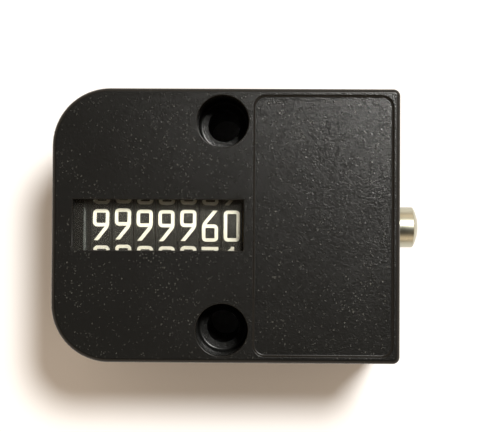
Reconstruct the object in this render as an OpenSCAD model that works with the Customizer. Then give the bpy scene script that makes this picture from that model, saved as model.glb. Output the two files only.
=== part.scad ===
// Seven-digit stroke counter for screwing to a mould or machine.
// A side plunger rocks a bell crank, whose pawl turns the units wheel one digit a stroke.
// Origin: on the back face, midway between the two mounting holes.
// +X towards the plunger, +Y up the digits, +Z out of the front face.

/* [Mounting holes] */
// Distance between the two mounting holes
hole_spacing = 36; // [34:0.5:48]
// Screw hole diameter, for an M5 screw
hole_d = 5.8; // [5.2:0.1:5.8]
// Counterbore diameter for the socket head
counterbore_d = 9; // [8.8:0.1:9.2]
// Depth of the counterbore from the front face
counterbore_depth = 9; // [6:0.5:14]
// Diameter of the post round each screw hole
boss_d = 11.6; // [11:0.1:12]
// From each hole's centre to the nearer long edge of the housing
hole_edge = 5.7; // [5.4:0.1:8]

/* [Housing] */
// Side wall thickness
wall = 2.2; // [1.8:0.1:3]
// Front wall thickness
front_wall = 2.5; // [2:0.1:3]
// Corner radius on the digits' side
left_corner_r = 10; // [8:0.5:12]
// Corner radius on the plunger's side
right_corner_r = 1.2; // [1:0.1:3]
// Chamfer round the front face
edge_chamfer = 0.8; // [0.3:0.1:1]
// Room between the first wheel and the left wall
left_room = 4.16; // [4:0.02:8]

/* [Window and lens] */
// Margin of the window left of the first wheel
window_left_margin = 2.68; // [1:0.02:2.8]
// Margin of the window right of the last wheel
window_right_margin = 0.3; // [0.1:0.02:1]
// Height of the window
window_height = 8.8; // [6:0.2:12]
// How far the lens lies below the front face
lens_set = 1.8; // [1:0.1:1.9]
// Lens thickness
lens_t = 1.5; // [1:0.1:2]
// How far the lens laps behind the window's edge
lens_lap = 1.1; // [0.8:0.1:1.2]

/* [Label pocket] */
// From the window's right edge to the pocket
pocket_gap = 1.7; // [1:0.1:4]
// Rim left round the pocket's other three sides
pocket_rim = 1.2; // [1:0.1:3]
// Corner radius of the pocket
pocket_corner_r = 2; // [1:0.1:4]
// Depth of the pocket
pocket_depth = 0.5; // [0.2:0.1:0.8]

/* [Rear cover] */
// Cover thickness
cover_t = 2; // [1.8:0.1:3]
// Gap round the cover
cover_gap = 0.15; // [0.1:0.05:0.4]
// Diameter of the corner posts that take the cover screws
corner_post_d = 5.6; // [5:0.1:6]
// Height of the corner posts
corner_post_h = 10; // [9:0.5:14]
// From the cover screws to the inner walls
corner_post_inset = 2.7; // [2.4:0.1:3]
// Cover screw shank diameter
cover_screw_d = 2.2; // [2:0.1:2.6]
// Cover screw head diameter
cover_screw_head_d = 4; // [3.8:0.1:4.4]
// Cover screw length
cover_screw_l = 7; // [5:0.5:8]

/* [Number wheels] */
// Wheel diameter over the printed rim
wheel_d = 20.6; // [19:0.2:21.4]
// Distance from one wheel to the next
wheel_pitch = 3.82; // [3.8:0.02:4.8]
// Gap between two rims
rim_gap = 0.21; // [0.15:0.01:0.3]
// Rim wall thickness
rim_t = 1; // [0.8:0.05:1.1]
// Middle of the units wheel, from the hole line
units_x = 1.59; // [1:0.01:2.5]
// Web thickness
web_t = 0.8; // [0.6:0.05:0.9]
// Depth of the locking ring on each wheel's left side
lock_ring_t = 0.8; // [0.6:0.05:0.85]
// Room between the wheels and the frame behind them
wheel_room = 0.4; // [0.3:0.1:2]
// Room between the wheels and the lens
lens_room = 0.5; // [0.3:0.1:2]

/* [Carry gears] */
// Teeth inside each wheel
ring_teeth = 20; // [20:20]
// Teeth on each pinion
pinion_teeth = 6; // [6:6]
// From the pitch circle of the teeth inside a wheel to the inside of its rim
ring_wall = 0.6; // [0.55:0.05:0.8]
// Height of a wheel tooth inside its pitch circle, in modules
ring_addendum = 0.575; // [0.5:0.005:0.6]
// Height of a pinion tooth outside its pitch circle, in modules
pinion_addendum = 0.437; // [0.35:0.001:0.45]
// Carrier plate thickness
carrier_t = 0.7; // [0.6:0.05:0.8]
// Gap between a carrier plate's edge and the wheel's rim
carrier_room = 1.7; // [1.5:0.1:1.9]
// Gap left between a pinion and the next wheel's locking ring
carry_gap = 0.1; // [0.05:0.01:0.15]

/* [Axle and frame] */
// Axle diameter
axle_d = 3; // [2.8:0.1:3.2]
// Height of the axle's flat above its centre
axle_flat = 1; // [0.9:0.05:1.2]
// Diameter of the hubs that the wheels turn on
hub_d = 4.4; // [4.2:0.1:4.6]
// Steel sheet thickness of the frame
frame_t = 1; // [0.8:0.1:1.2]
// Left frame plate thickness
left_plate_t = 0.4; // [0.4:0.1:1]
// Gap between the frame and the rear cover
frame_gap = 0.2; // [0.1:0.05:0.5]
// Width of the frame's upright plates
plate_w = 12; // [10:0.5:13]
// Frame screw diameter
frame_screw_d = 2; // [1.8:0.1:2.2]
// Diameter of the posts for the frame screws
frame_post_d = 4.4; // [4:0.1:4.8]
// Room between the wheels and the frame screws' posts
frame_post_room = 0.7; // [0.4:0.1:2]
// Gap between the rocker's hub and the post beside it
hub_post_gap = 0.15; // [0.1:0.05:0.3]

/* [Ratchet and pawl] */
// Ratchet teeth, one for each digit
ratchet_teeth = 10; // [10:10]
// Ratchet diameter over its teeth
ratchet_d = 9.6; // [9.2:0.1:9.8]
// Depth of the ratchet teeth
ratchet_tooth = 0.9; // [0.7:0.05:1]
// Ratchet thickness
ratchet_t = 1.2; // [1:0.05:1.3]
// Gap on each side of the ratchet
ratchet_gap = 0.24; // [0.2:0.02:0.5]
// Thickness of the spring leaves
leaf_t = 0.25; // [0.2:0.05:0.3]
// Gap kept between a leaf's hook and the ratchet's teeth
hook_gap = 0.15; // [0.1:0.01:0.3]

/* [Plunger drive] */
// Plunger diameter
plunger_d = 7.4; // [6:0.1:8]
// How far the plunger stands out of the housing
plunger_out = 4.6; // [4.6:0.1:9]
// Stroke of the plunger
stroke = 4.4; // [4:0.1:4.4]
// Plunger stem diameter
stem_d = 4; // [3.6:0.1:4.2]
// Diameter of the plunger's stop collar
collar_d = 9.8; // [9:0.1:10]
// Thickness of the stop collar
collar_t = 1.4; // [1:0.1:2]
// Length of the return spring's space
spring_l = 7.6; // [7.3:0.1:12]
// Mean diameter of the return spring
spring_d = 5.5; // [5.2:0.1:6]
// Wire diameter of the return spring
spring_wire = 0.4; // [0.35:0.01:0.4]
// Turns of the return spring
spring_turns = 5.25; // [4:0.25:5.25]
// Length of the rocker's arm at the plunger
push_arm = 10; // [9.6:0.1:11]
// Length of the rocker's arm at the pawl
pawl_arm = 6.2; // [6:0.05:6.4]
// Rocker pin diameter
rocker_pin_d = 2; // [1.8:0.1:2.2]

/* [Clearances] */
// Radial clearance of turning and sliding fits
run_gap = 0.05; // [0.03:0.01:0.08]
// Radial clearance of fixed fits
fixed_gap = 0.02; // [0.01:0.01:0.05]
// End clearance between pieces side by side
end_gap = 0.1; // [0.05:0.01:0.15]

/* [Hidden] */
$fn = 64;
tiny = 0.01;
wheels = 7;

// Heights, from the back face up
frame_z = cover_t + frame_gap;
frame_top = frame_z + frame_t;
wheel_r = wheel_d / 2;
axle_z = frame_top + wheel_room + wheel_r;
lens_z = axle_z + wheel_r + lens_room;
depth = lens_z + lens_t + lens_set;
cavity_z = depth - front_wall;

// Places along the axle
rim_w = wheel_pitch - rim_gap;
train_right = units_x + rim_w / 2;
train_left = units_x - rim_w / 2 - (wheels - 1) * wheel_pitch;
inner_left = train_left - left_room;
ratchet_x = train_right + ratchet_gap;
plate_x = ratchet_x + ratchet_t + ratchet_gap;
left_plate_x = train_left - 1 - left_plate_t;

// The rocker swings as far each side of the square as half the stroke over its arm
swing = stroke / 2 / push_arm * 180 / PI;
pawl_offset = 0.6;
pivot_x = ratchet_x + ratchet_t / 2 + pawl_offset + pawl_arm * (1 + cos(swing)) / 2;
pivot_y = -push_arm * (1 + cos(swing)) / 2;
nose_r = 0.9;
push_gap = 0.1;
stem_x = pivot_x + push_arm * sin(swing) + nose_r + push_gap;
guide_room = 1;
tab_x = stem_x + guide_room;
guide_head = 0.8;
guide_x = tab_x + frame_t + guide_head;
collar_x = guide_x + spring_l;
stop_gap = 0.05;
bush_head = 2.46;
bush_x = collar_x + collar_t + stop_gap;
inner_right = bush_x + bush_head;
plunger_z = axle_z;

// Outline of the housing
body_left = inner_left - wall;
body_right = inner_right + wall;
half_h = hole_spacing / 2 + hole_edge;
inner_half_h = half_h - wall;

// Window and pocket
window_left = train_left - window_left_margin;
window_right = train_right + window_right_margin;
pocket_left = window_right + pocket_gap;

// Corner posts and cover screws
post_left_x = inner_left + corner_post_inset + (left_corner_r - wall) * 0.13;
post_left_y = inner_half_h - corner_post_inset - (left_corner_r - wall) * 0.13;
post_right_x = inner_right - corner_post_inset;
post_right_y = inner_half_h - corner_post_inset;
corner_posts = [
    [post_left_x, post_left_y], [post_left_x, -post_left_y],
    [post_right_x, post_right_y], [post_right_x, -post_right_y]
];

// Frame ears and the posts they are screwed to, clear of the wheels and of the rocker's hub
hub_r = rocker_pin_d / 2 + 1.2;
ear_w = 5;
ear_left_x = train_left + 4.3;
ear_right_x = tab_x - 0.3;
hub_reach = hub_r + frame_post_d / 2 + hub_post_gap;
hub_rise = sqrt(max(0, pow(hub_reach, 2) - pow(ear_right_x - pivot_x, 2)));
frame_post_y = max(wheel_r + frame_post_room + frame_post_d / 2, hub_rise - pivot_y);
frame_posts = [
    [ear_left_x, frame_post_y], [ear_left_x, -frame_post_y],
    [ear_right_x, frame_post_y], [ear_right_x, -frame_post_y]
];
frame_screw_l = 6.5;
frame_head_h = 1.2;
frame_head_d = 3.8;

// Gears, in planes across the axle; their teeth are shares of the module
rim_r = wheel_r - rim_t;
ring_pitch_r = rim_r - ring_wall;
gear_module = 2 * ring_pitch_r / ring_teeth;
pinion_pitch_r = pinion_teeth * gear_module / 2;
pinion_offset = ring_pitch_r - pinion_pitch_r;
ring_tip_r = ring_pitch_r - ring_addendum * gear_module;
ring_root_r = ring_pitch_r + 0.552 * gear_module;
pinion_tip_r = pinion_pitch_r + pinion_addendum * gear_module;
pinion_root_r = pinion_pitch_r - 0.782 * gear_module;
ring_half_tip = 0.299 * gear_module;
ring_half_root = 0.552 * gear_module;
pinion_half_tip = 0.299 * gear_module;
pinion_half_root = 0.575 * gear_module;
carrier_d = 2 * (rim_r - carrier_room);
stub_d = 1.6;
plate_u = lock_ring_t + web_t + 0.15;
pinion_u = plate_u + carrier_t + end_gap;
ring_u = pinion_u + 0.05;
pinion_end_u = wheel_pitch - carry_gap;
short_end_u = pinion_end_u - 0.2;
ring_end_u = rim_w - 0.14;

// Pawl and click heights
ratchet_r = ratchet_d / 2;
hook_h = 0.95;
pawl_z = axle_z - ratchet_r - hook_gap - hook_h;
click_z = axle_z + ratchet_r + hook_gap + hook_h - leaf_t;
arm_t = 1.2;
arm_z = pawl_z - 0.05 - arm_t;
push_arm_t = 2;
eye_r = 1.15;
pawl_pin_d = 1.2;
pawl_x = pivot_x - pawl_arm * cos(swing);
pawl_y = pivot_y + pawl_arm * sin(swing);
click_rivet_y = 4;
click_rivet_z = click_z + 1.8;
click_rivet_r = 0.5;
plate_top = click_z + 3.2;

function wheel_x(k) = units_x - rim_w / 2 - (wheels - k) * wheel_pitch;

// ---- shapes used by several pieces

module across(x, z) {
    translate([x, 0, z]) rotate([90, 0, 90]) children();
}

module rod(x, z, r, l) {
    across(x, z) cylinder(r = r, h = l);
}

// A slab with its own corner radius on each side
module slab(x0, x1, half_y, r0, r1, z, h) {
    translate([0, 0, z]) linear_extrude(h) union() {
        translate([x0 + r0, -half_y]) square([x1 - x0 - r0 - r1, 2 * half_y]);
        translate([x0, -half_y + r0]) square([r0 + tiny, 2 * (half_y - r0)]);
        translate([x1 - r1 - tiny, -half_y + r1]) square([r1 + tiny, 2 * (half_y - r1)]);
        for (s = [-1, 1]) {
            translate([x0 + r0, s * (half_y - r0)]) circle(r0);
            translate([x1 - r1, s * (half_y - r1)]) circle(r1);
        }
    }
}

// The same slab, narrowing by c all round over its height
module chamfer_slab(x0, x1, half_y, r0, r1, z, c) {
    cx0 = x0 + r0;
    cx1 = x1 - r1;
    translate([0, 0, z]) union() {
        translate([cx0, 0, 0]) rotate([90, 0, 90]) linear_extrude(cx1 - cx0)
            polygon([[-half_y, 0], [half_y, 0], [half_y - c, c], [c - half_y, c]]);
        for (side = [[x0, x0 + c, cx0 + tiny, r0], [x1, x1 - c, cx1 - tiny, r1]])
            translate([0, half_y - side[3], 0]) rotate([90, 0, 0])
                linear_extrude(2 * (half_y - side[3]))
                    polygon([[side[0], 0], [side[1], c], [side[2], c], [side[2], 0]]);
        for (s = [-1, 1]) {
            translate([cx0, s * (half_y - r0), 0]) cylinder(r1 = r0, r2 = r0 - c, h = c);
            translate([cx1, s * (half_y - r1), 0]) cylinder(r1 = r1, r2 = r1 - c, h = c);
        }
    }
}

module d_bore(gap, l) {
    intersection() {
        cylinder(r = axle_d / 2 + gap, h = l);
        translate([-axle_d, -axle_d, 0]) cube([2 * axle_d, axle_d + axle_flat + gap, l]);
    }
}

// A hub on the axle, from x over a length l
module hub(x, l) {
    across(x, axle_z) difference() {
        cylinder(d = hub_d, h = l);
        translate([0, 0, -1]) d_bore(run_gap, l + 2);
    }
}

module pan_screw(d, head_d, head_h, l) {
    cylinder(d = d, h = l);
    translate([0, 0, -head_h]) difference() {
        cylinder(d = head_d, h = head_h);
        for (a = [0, 90])
            rotate([0, 0, a]) translate([-0.25, -1, -tiny]) cube([0.5, 2, 0.7]);
    }
}

// ---- case

module housing() {
    color("#1b1b1c") difference() {
        union() {
            difference() {
                union() {
                    slab(body_left, body_right, half_h, left_corner_r, right_corner_r,
                        0, depth - edge_chamfer);
                    chamfer_slab(body_left, body_right, half_h, left_corner_r,
                        right_corner_r, depth - edge_chamfer, edge_chamfer);
                }
                slab(inner_left, inner_right, inner_half_h, left_corner_r - wall, 0.5,
                    -1, cavity_z + 1);
            }
            intersection() {
                for (s = [-1, 1])
                    translate([0, s * hole_spacing / 2, 0]) cylinder(d = boss_d, h = cavity_z + tiny);
                translate([-boss_d, -half_h, -1]) cube([2 * boss_d, 2 * half_h, depth]);
            }
            for (p = frame_posts)
                translate([p[0], p[1], frame_top])
                    cylinder(d = frame_post_d, h = cavity_z - frame_top + tiny);
            for (p = corner_posts)
                translate([p[0], p[1], cover_t])
                    cylinder(d = corner_post_d, h = corner_post_h);
        }
        for (s = [-1, 1])
            translate([0, s * hole_spacing / 2, 0]) {
                translate([0, 0, -1]) cylinder(d = hole_d, h = depth + 2);
                translate([0, 0, depth - counterbore_depth])
                    cylinder(d = counterbore_d, h = counterbore_depth + 1);
            }
        translate([window_left, -window_height / 2, cavity_z - 1])
            cube([window_right - window_left, window_height, front_wall + 2]);
        translate([window_left - lens_lap - fixed_gap, -window_height / 2 - lens_lap - fixed_gap,
            lens_z - 1])
            cube([window_right - window_left + 2 * (lens_lap + fixed_gap),
                window_height + 2 * (lens_lap + fixed_gap), lens_t + 1]);
        slab(pocket_left, body_right - pocket_rim, half_h - pocket_rim, pocket_corner_r,
            pocket_corner_r, depth - pocket_depth, 1);
        rod(inner_right - 1, plunger_z, plunger_d / 2 + 0.8 + fixed_gap, wall + 2);
        for (p = frame_posts)
            translate([p[0], p[1], frame_top - tiny])
                cylinder(d = frame_screw_d + 2 * run_gap, h = frame_screw_l - frame_t + 1);
        for (p = corner_posts)
            translate([p[0], p[1], cover_t - tiny])
                cylinder(d = cover_screw_d + 2 * run_gap, h = cover_screw_l - cover_t + 1);
    }
}

module rear_cover() {
    color("#202021") difference() {
        slab(inner_left + cover_gap, inner_right - cover_gap, inner_half_h - cover_gap,
            left_corner_r - wall - cover_gap, 0.5, 0, cover_t);
        for (s = [-1, 1])
            translate([0, s * hole_spacing / 2, -1])
                cylinder(d = boss_d + 2 * cover_gap, h = cover_t + 2);
        for (p = corner_posts) {
            translate([p[0], p[1], -1]) cylinder(d = cover_screw_d + 0.3, h = cover_t + 2);
            translate([p[0], p[1], -tiny])
                cylinder(d1 = cover_screw_head_d + 0.3, d2 = cover_screw_d + 0.3, h = 1.1);
        }
        for (p = frame_posts)
            translate([p[0], p[1], frame_z - frame_head_h - end_gap])
                cylinder(d = frame_head_d + 0.8, h = cover_t);
    }
}

module cover_screws() {
    head_h = 1;
    color("#8f9194")
        for (p = corner_posts)
            translate([p[0], p[1], 0]) difference() {
                union() {
                    cylinder(d1 = cover_screw_head_d, d2 = cover_screw_d, h = head_h);
                    translate([0, 0, head_h - tiny])
                        cylinder(d = cover_screw_d, h = cover_screw_l - head_h);
                }
                for (a = [0, 90])
                    rotate([0, 0, a]) translate([-0.25, -1, -tiny]) cube([0.5, 2, 0.6]);
            }
}

module window_lens() {
    color("#c9d2c4", 0.4)
        translate([window_left - lens_lap, -window_height / 2 - lens_lap, lens_z])
            cube([window_right - window_left + 2 * lens_lap, window_height + 2 * lens_lap, lens_t]);
}

// ---- frame and axle

module plate(x, t, w, top) {
    translate([x, 0, 0]) rotate([90, 0, 90]) linear_extrude(t) union() {
        translate([-w / 2, frame_z]) square([w, top - frame_z - 2]);
        translate([-w / 2 + 2, frame_z]) square([w - 4, top - frame_z]);
        for (s = [-1, 1])
            translate([s * (w / 2 - 2), top - 2]) circle(2);
    }
}

module counter_frame() {
    ear_y = frame_post_y + ear_w / 2;
    tab_w = 9;
    color("#a9acb0") difference() {
        union() {
            translate([left_plate_x, -plate_w / 2, frame_z])
                cube([tab_x + 2.2 - left_plate_x, plate_w, frame_t]);
            translate([ear_left_x - ear_w / 2, -ear_y, frame_z]) cube([ear_w, 2 * ear_y, frame_t]);
            translate([plate_x + 2, -ear_y, frame_z])
                cube([ear_right_x + ear_w / 2 - plate_x - 2, 2 * ear_y, frame_t]);
            plate(left_plate_x, left_plate_t, plate_w, axle_z + wheel_r - 0.8);
            plate(plate_x, frame_t, plate_w, plate_top);
            plate(tab_x, frame_t, tab_w, plunger_z + 4.5);
        }
        for (x = [left_plate_x, plate_x])
            across(x - 1, axle_z) d_bore(fixed_gap, frame_t + 2);
        rod(tab_x - 1, plunger_z, stem_d / 2 + 0.9 + fixed_gap, frame_t + 2);
        translate([0, click_rivet_y, 0])
            rod(plate_x - 1, click_rivet_z, click_rivet_r + fixed_gap, frame_t + 2);
        translate([pivot_x, pivot_y, frame_z - 1])
            cylinder(r = rocker_pin_d / 2 + fixed_gap, h = frame_t + 2);
        for (p = frame_posts)
            translate([p[0], p[1], frame_z - 1])
                cylinder(d = frame_screw_d + 2 * run_gap, h = frame_t + 2);
    }
}

module frame_screws() {
    color("#9a9c9f")
        for (p = frame_posts)
            translate([p[0], p[1], frame_z])
                pan_screw(frame_screw_d, frame_head_d, frame_head_h, frame_screw_l);
}

axle_x0 = left_plate_x - 1;
axle_x1 = plate_x + frame_t + 0.9;

module wheel_axle() {
    color("#b8babd") across(axle_x0, axle_z) d_bore(0, axle_x1 - axle_x0);
}

module axle_clips() {
    clip_t = 0.5;
    color("#77797c")
        for (x = [left_plate_x - clip_t - 0.05, plate_x + frame_t + 0.05])
            across(x, axle_z) difference() {
                cylinder(r = 3, h = clip_t);
                translate([0, 0, -1]) cylinder(r = axle_d / 2 + fixed_gap, h = clip_t + 2);
                translate([-1.1, 0, -1]) cube([2.2, 4, clip_t + 2]);
            }
}

module end_spacer() {
    color("#e4e1d6") hub(left_plate_x + left_plate_t + end_gap / 2,
        train_left - left_plate_x - left_plate_t - end_gap);
}

module unit_bush() {
    color("#e4e1d6") hub(wheel_x(wheels), plate_x - end_gap - wheel_x(wheels));
}

// ---- number wheels and carry

// Outline of a gear: each tooth runs from half_root at r_root to half_tip at r_tip
function tooth(a, r_root, half_root, r_tip, half_tip) = [
    for (p = [[r_root, -half_root], [r_tip, -half_tip], [r_tip, half_tip], [r_root, half_root]])
        [p[0] * cos(a) - p[1] * sin(a), p[0] * sin(a) + p[1] * cos(a)]
];

function gear(n, start, r_root, half_root, r_tip, half_tip) = [
    for (i = [0:n - 1])
        each tooth(start + i * 360 / n, r_root, half_root, r_tip, half_tip)
];

module number_wheel(k) {
    bore_r = hub_d / 2 + run_gap;
    lock_r = rim_r - 1.1;
    notch_w = 2.7;
    carry_tooth_t = 0.5;
    carry_tooth_y = 0.75;
    color("#26272a") across(wheel_x(k), axle_z) union() {
        difference() {
            cylinder(r = wheel_r, h = rim_w);
            translate([0, 0, lock_ring_t + web_t]) cylinder(r = rim_r, h = rim_w);
            translate([0, 0, -1]) cylinder(r = lock_r, h = lock_ring_t + 1);
            translate([0, 0, -1]) cylinder(r = bore_r, h = rim_w);
            // notch that lets a pinion's long tooth through
            rotate([0, 0, -90]) translate([0, -notch_w / 2, -1])
                cube([rim_r - 0.3, notch_w, lock_ring_t + 1]);
        }
        // the two teeth that turn the pinion of the next wheel up
        for (s = [-1, 1])
            rotate([0, 0, -90]) translate([lock_r - 0.1, s * carry_tooth_y - carry_tooth_t / 2, 0])
                cube([rim_r - lock_r, carry_tooth_t, lock_ring_t]);
        if (k < wheels)
            translate([0, 0, ring_u]) linear_extrude(ring_end_u - ring_u) difference() {
                circle(rim_r + tiny);
                polygon(gear(ring_teeth, -90, ring_tip_r,
                    PI * ring_tip_r / ring_teeth - ring_half_tip, ring_root_r,
                    PI * ring_root_r / ring_teeth - ring_half_root));
            }
    }
}

// Plate between two wheels, with the hub that the left one turns on and the pinion's stub
module carrier(k) {
    color("#d8d4c6") across(wheel_x(k), axle_z) difference() {
        union() {
            cylinder(d = hub_d, h = wheel_pitch - end_gap / 2);
            translate([0, 0, plate_u]) cylinder(d = carrier_d, h = carrier_t);
            translate([0, -pinion_offset, plate_u])
                cylinder(d = stub_d, h = pinion_end_u - plate_u - 0.05);
        }
        translate([0, 0, -1]) d_bore(run_gap, wheel_pitch + 2);
    }
}

module pinion(k) {
    color("#c8bfa4") across(wheel_x(k), axle_z) translate([0, -pinion_offset, 0]) difference() {
        union() {
            translate([0, 0, pinion_u]) linear_extrude(short_end_u - pinion_u)
                polygon(gear(pinion_teeth, -90, pinion_root_r, pinion_half_root,
                    pinion_tip_r, pinion_half_tip));
            translate([0, 0, short_end_u - tiny]) linear_extrude(pinion_end_u - short_end_u + tiny)
                polygon(gear(pinion_teeth / 2, -90, pinion_root_r, pinion_half_root,
                    pinion_tip_r, pinion_half_tip));
        }
        translate([0, 0, -1]) cylinder(d = stub_d + 2 * run_gap, h = wheel_pitch + 2);
    }
}

// ---- ratchet, click and pawl

module ratchet_wheel() {
    root_r = ratchet_r - ratchet_tooth;
    web_x = wheel_x(wheels) + lock_ring_t + web_t;
    step = 360 / ratchet_teeth;
    color("#c9a24a") difference() {
        union() {
            across(ratchet_x, axle_z) linear_extrude(ratchet_t)
                polygon([for (i = [0:ratchet_teeth - 1]) for (p = [[root_r, 0], [ratchet_r, step]])
                    [p[0] * cos(i * step + p[1] - 90), p[0] * sin(i * step + p[1] - 90)]]);
            rod(web_x, axle_z, hub_d / 2 + 0.7, ratchet_x - web_x + tiny);
        }
        rod(web_x - 1, axle_z, hub_d / 2 + run_gap, plate_x);
    }
}

leaf_w = 0.8;
leaf_x = ratchet_x + ratchet_t / 2 - leaf_w / 2;

module holding_spring() {
    foot_x = plate_x - leaf_t;
    color("#7f8790") difference() {
        union() {
            translate([leaf_x, -0.6, click_z]) cube([plate_x - leaf_x, plate_w / 2 + 0.6, leaf_t]);
            translate([foot_x, 1.8, click_z]) cube([leaf_t, plate_w / 2 - 1.8, 3]);
            translate([leaf_x, -0.6, click_z - hook_h + leaf_t]) cube([leaf_w, leaf_t, hook_h]);
        }
        translate([0, click_rivet_y, 0])
            rod(foot_x - 1, click_rivet_z, click_rivet_r + fixed_gap, 3);
    }
}

module holding_rivet() {
    head_t = 0.35;
    head_r = 0.85;
    color("#9a9c9f") translate([0, click_rivet_y, 0]) {
        rod(plate_x - leaf_t, click_rivet_z, click_rivet_r, frame_t + leaf_t);
        rod(plate_x - leaf_t - head_t, click_rivet_z, head_r, head_t);
        rod(plate_x + frame_t, click_rivet_z, head_r, head_t);
    }
}

module drive_pawl() {
    hook_y = 0.9;
    pawl_leaf_x = pawl_x - pawl_offset - leaf_w / 2;
    color("#7f8790") difference() {
        union() {
            translate([pawl_x, pawl_y, pawl_z]) cylinder(r = eye_r, h = leaf_t);
            translate([pawl_leaf_x, pawl_y, pawl_z]) cube([leaf_w, hook_y - pawl_y, leaf_t]);
            translate([pawl_leaf_x, hook_y - leaf_t, pawl_z]) cube([leaf_w, leaf_t, hook_h]);
        }
        translate([pawl_x, pawl_y, pawl_z - 1]) cylinder(d = pawl_pin_d + 2 * run_gap, h = 2);
    }
}

module pawl_rivet() {
    head_t = 0.4;
    color("#9a9c9f") translate([pawl_x, pawl_y, 0]) {
        translate([0, 0, arm_z]) cylinder(d = pawl_pin_d, h = pawl_z + leaf_t + 0.05 - arm_z);
        translate([0, 0, arm_z - head_t]) cylinder(r = 0.95, h = head_t);
        translate([0, 0, pawl_z + leaf_t + 0.05]) cylinder(r = 0.95, h = head_t);
    }
}

// ---- rocker

// A flat arm with round ends, from the pivot to a point
module arm(x, y, w, r_end, z, t) {
    l = norm([x, y]);
    translate([pivot_x, pivot_y, z]) {
        rotate([0, 0, atan2(y, x)]) translate([0, -w / 2, 0]) cube([l, w, t]);
        translate([x, y, 0]) cylinder(r = r_end, h = t);
    }
}

module rocker() {
    hub_z = frame_top + end_gap;
    color("#8b8f94") difference() {
        union() {
            translate([pivot_x, pivot_y, hub_z])
                cylinder(r = hub_r, h = plunger_z + push_arm_t / 2 - hub_z);
            arm(push_arm * sin(swing), push_arm * cos(swing), 1.2, nose_r,
                plunger_z - push_arm_t / 2, push_arm_t);
            arm(pawl_x - pivot_x, pawl_y - pivot_y, 1.9, eye_r, arm_z, arm_t);
        }
        translate([pivot_x, pivot_y, 0]) cylinder(r = rocker_pin_d / 2 + run_gap, h = depth);
        translate([pawl_x, pawl_y, 0]) cylinder(d = pawl_pin_d + 2 * fixed_gap, h = pawl_z);
    }
}

clip_z = plunger_z + push_arm_t / 2 + end_gap;

module rocker_pin() {
    color("#b8babd") translate([pivot_x, pivot_y, frame_z])
        cylinder(d = rocker_pin_d, h = clip_z + 1.2 - frame_z);
}

module rocker_clip() {
    color("#77797c") translate([pivot_x, pivot_y, clip_z]) difference() {
        cylinder(r = 2.1, h = 0.5);
        translate([0, 0, -1]) cylinder(r = rocker_pin_d / 2 + fixed_gap, h = 2);
        translate([-0.7, 0, -1]) cube([1.4, 3, 2]);
    }
}

// ---- plunger

module plunger() {
    tip_x = body_right + plunger_out;
    tip_round = 0.4;
    tip_crown = 0.5;
    tip_flat_r = 1.8;
    crown_x = tip_x - tip_crown;
    stem_tip_r = 0.9;
    stem_taper = 1.2;
    r = plunger_d / 2;
    color("#c3c5c8") union() {
        across(stem_x, plunger_z) cylinder(r1 = stem_tip_r, r2 = stem_d / 2, h = stem_taper);
        rod(stem_x + stem_taper - tiny, plunger_z, stem_d / 2, collar_x - stem_x - stem_taper + 2 * tiny);
        rod(collar_x, plunger_z, collar_d / 2, collar_t);
        rod(collar_x, plunger_z, r, crown_x - tip_round - collar_x);
        across(crown_x - tip_round, plunger_z) cylinder(r1 = r, r2 = r - tip_round, h = tip_round);
        across(crown_x, plunger_z) cylinder(r1 = r - tip_round, r2 = tip_flat_r, h = tip_crown);
    }
}

module plunger_bush() {
    bush_r = plunger_d / 2 + 0.8;
    color("#b08d3c") difference() {
        union() {
            rod(bush_x, plunger_z, bush_r + 1.1, bush_head);
            rod(bush_x, plunger_z, bush_r, bush_head + wall);
        }
        rod(bush_x - 1, plunger_z, plunger_d / 2 + run_gap, bush_head + wall + 2);
    }
}

module plunger_guide() {
    guide_r = stem_d / 2 + 0.9;
    color("#e4e1d6") difference() {
        union() {
            rod(tab_x, plunger_z, guide_r, frame_t + guide_head);
            rod(tab_x + frame_t, plunger_z, guide_r + 0.6, guide_head);
        }
        rod(tab_x - 1, plunger_z, stem_d / 2 + run_gap, frame_t + guide_head + 2);
    }
}

// The wire's rings step along a coil and join into one closed tube
module plunger_spring() {
    steps = 20;
    sides = 8;
    wire_r = spring_wire / 2;
    rings = ceil(spring_turns * steps);
    rise = spring_l - spring_wire - 2 * fixed_gap;
    points = [
        for (i = [0:rings]) for (j = [0:sides - 1])
            let (a = i * 360 * spring_turns / rings, b = j * 360 / sides,
                r = spring_d / 2 + wire_r * cos(b))
            [rise * i / rings + wire_r * sin(b), r * cos(a), r * sin(a)]
    ];
    skin = [
        for (i = [0:rings - 1]) for (j = [0:sides - 1])
            let (n = (j + 1) % sides, a = i * sides, b = a + sides)
            each [[a + j, a + n, b + n], [a + j, b + n, b + j]]
    ];
    ends = [[for (j = [0:sides - 1]) sides - 1 - j], [for (j = [0:sides - 1]) rings * sides + j]];
    color("#9fa3a8") translate([guide_x + wire_r + fixed_gap, 0, plunger_z])
        polyhedron(points, concat(skin, ends));
}

// ---- drawing

housing();
rear_cover();
window_lens();
cover_screws();
counter_frame();
frame_screws();
wheel_axle();
axle_clips();
end_spacer();
for (k = [1:wheels])
    number_wheel(k);
for (k = [1:wheels - 1]) {
    carrier(k);
    pinion(k);
}
unit_bush();
ratchet_wheel();
holding_spring();
holding_rivet();
rocker();
rocker_pin();
rocker_clip();
drive_pawl();
pawl_rivet();
plunger();
plunger_bush();
plunger_guide();
plunger_spring();
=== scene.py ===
# Mechanical stroke counter: the visible pieces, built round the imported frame
import math

import bmesh
import bpy
from mathutils import Matrix, Vector
from mathutils.geometry import interpolate_bezier


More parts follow.
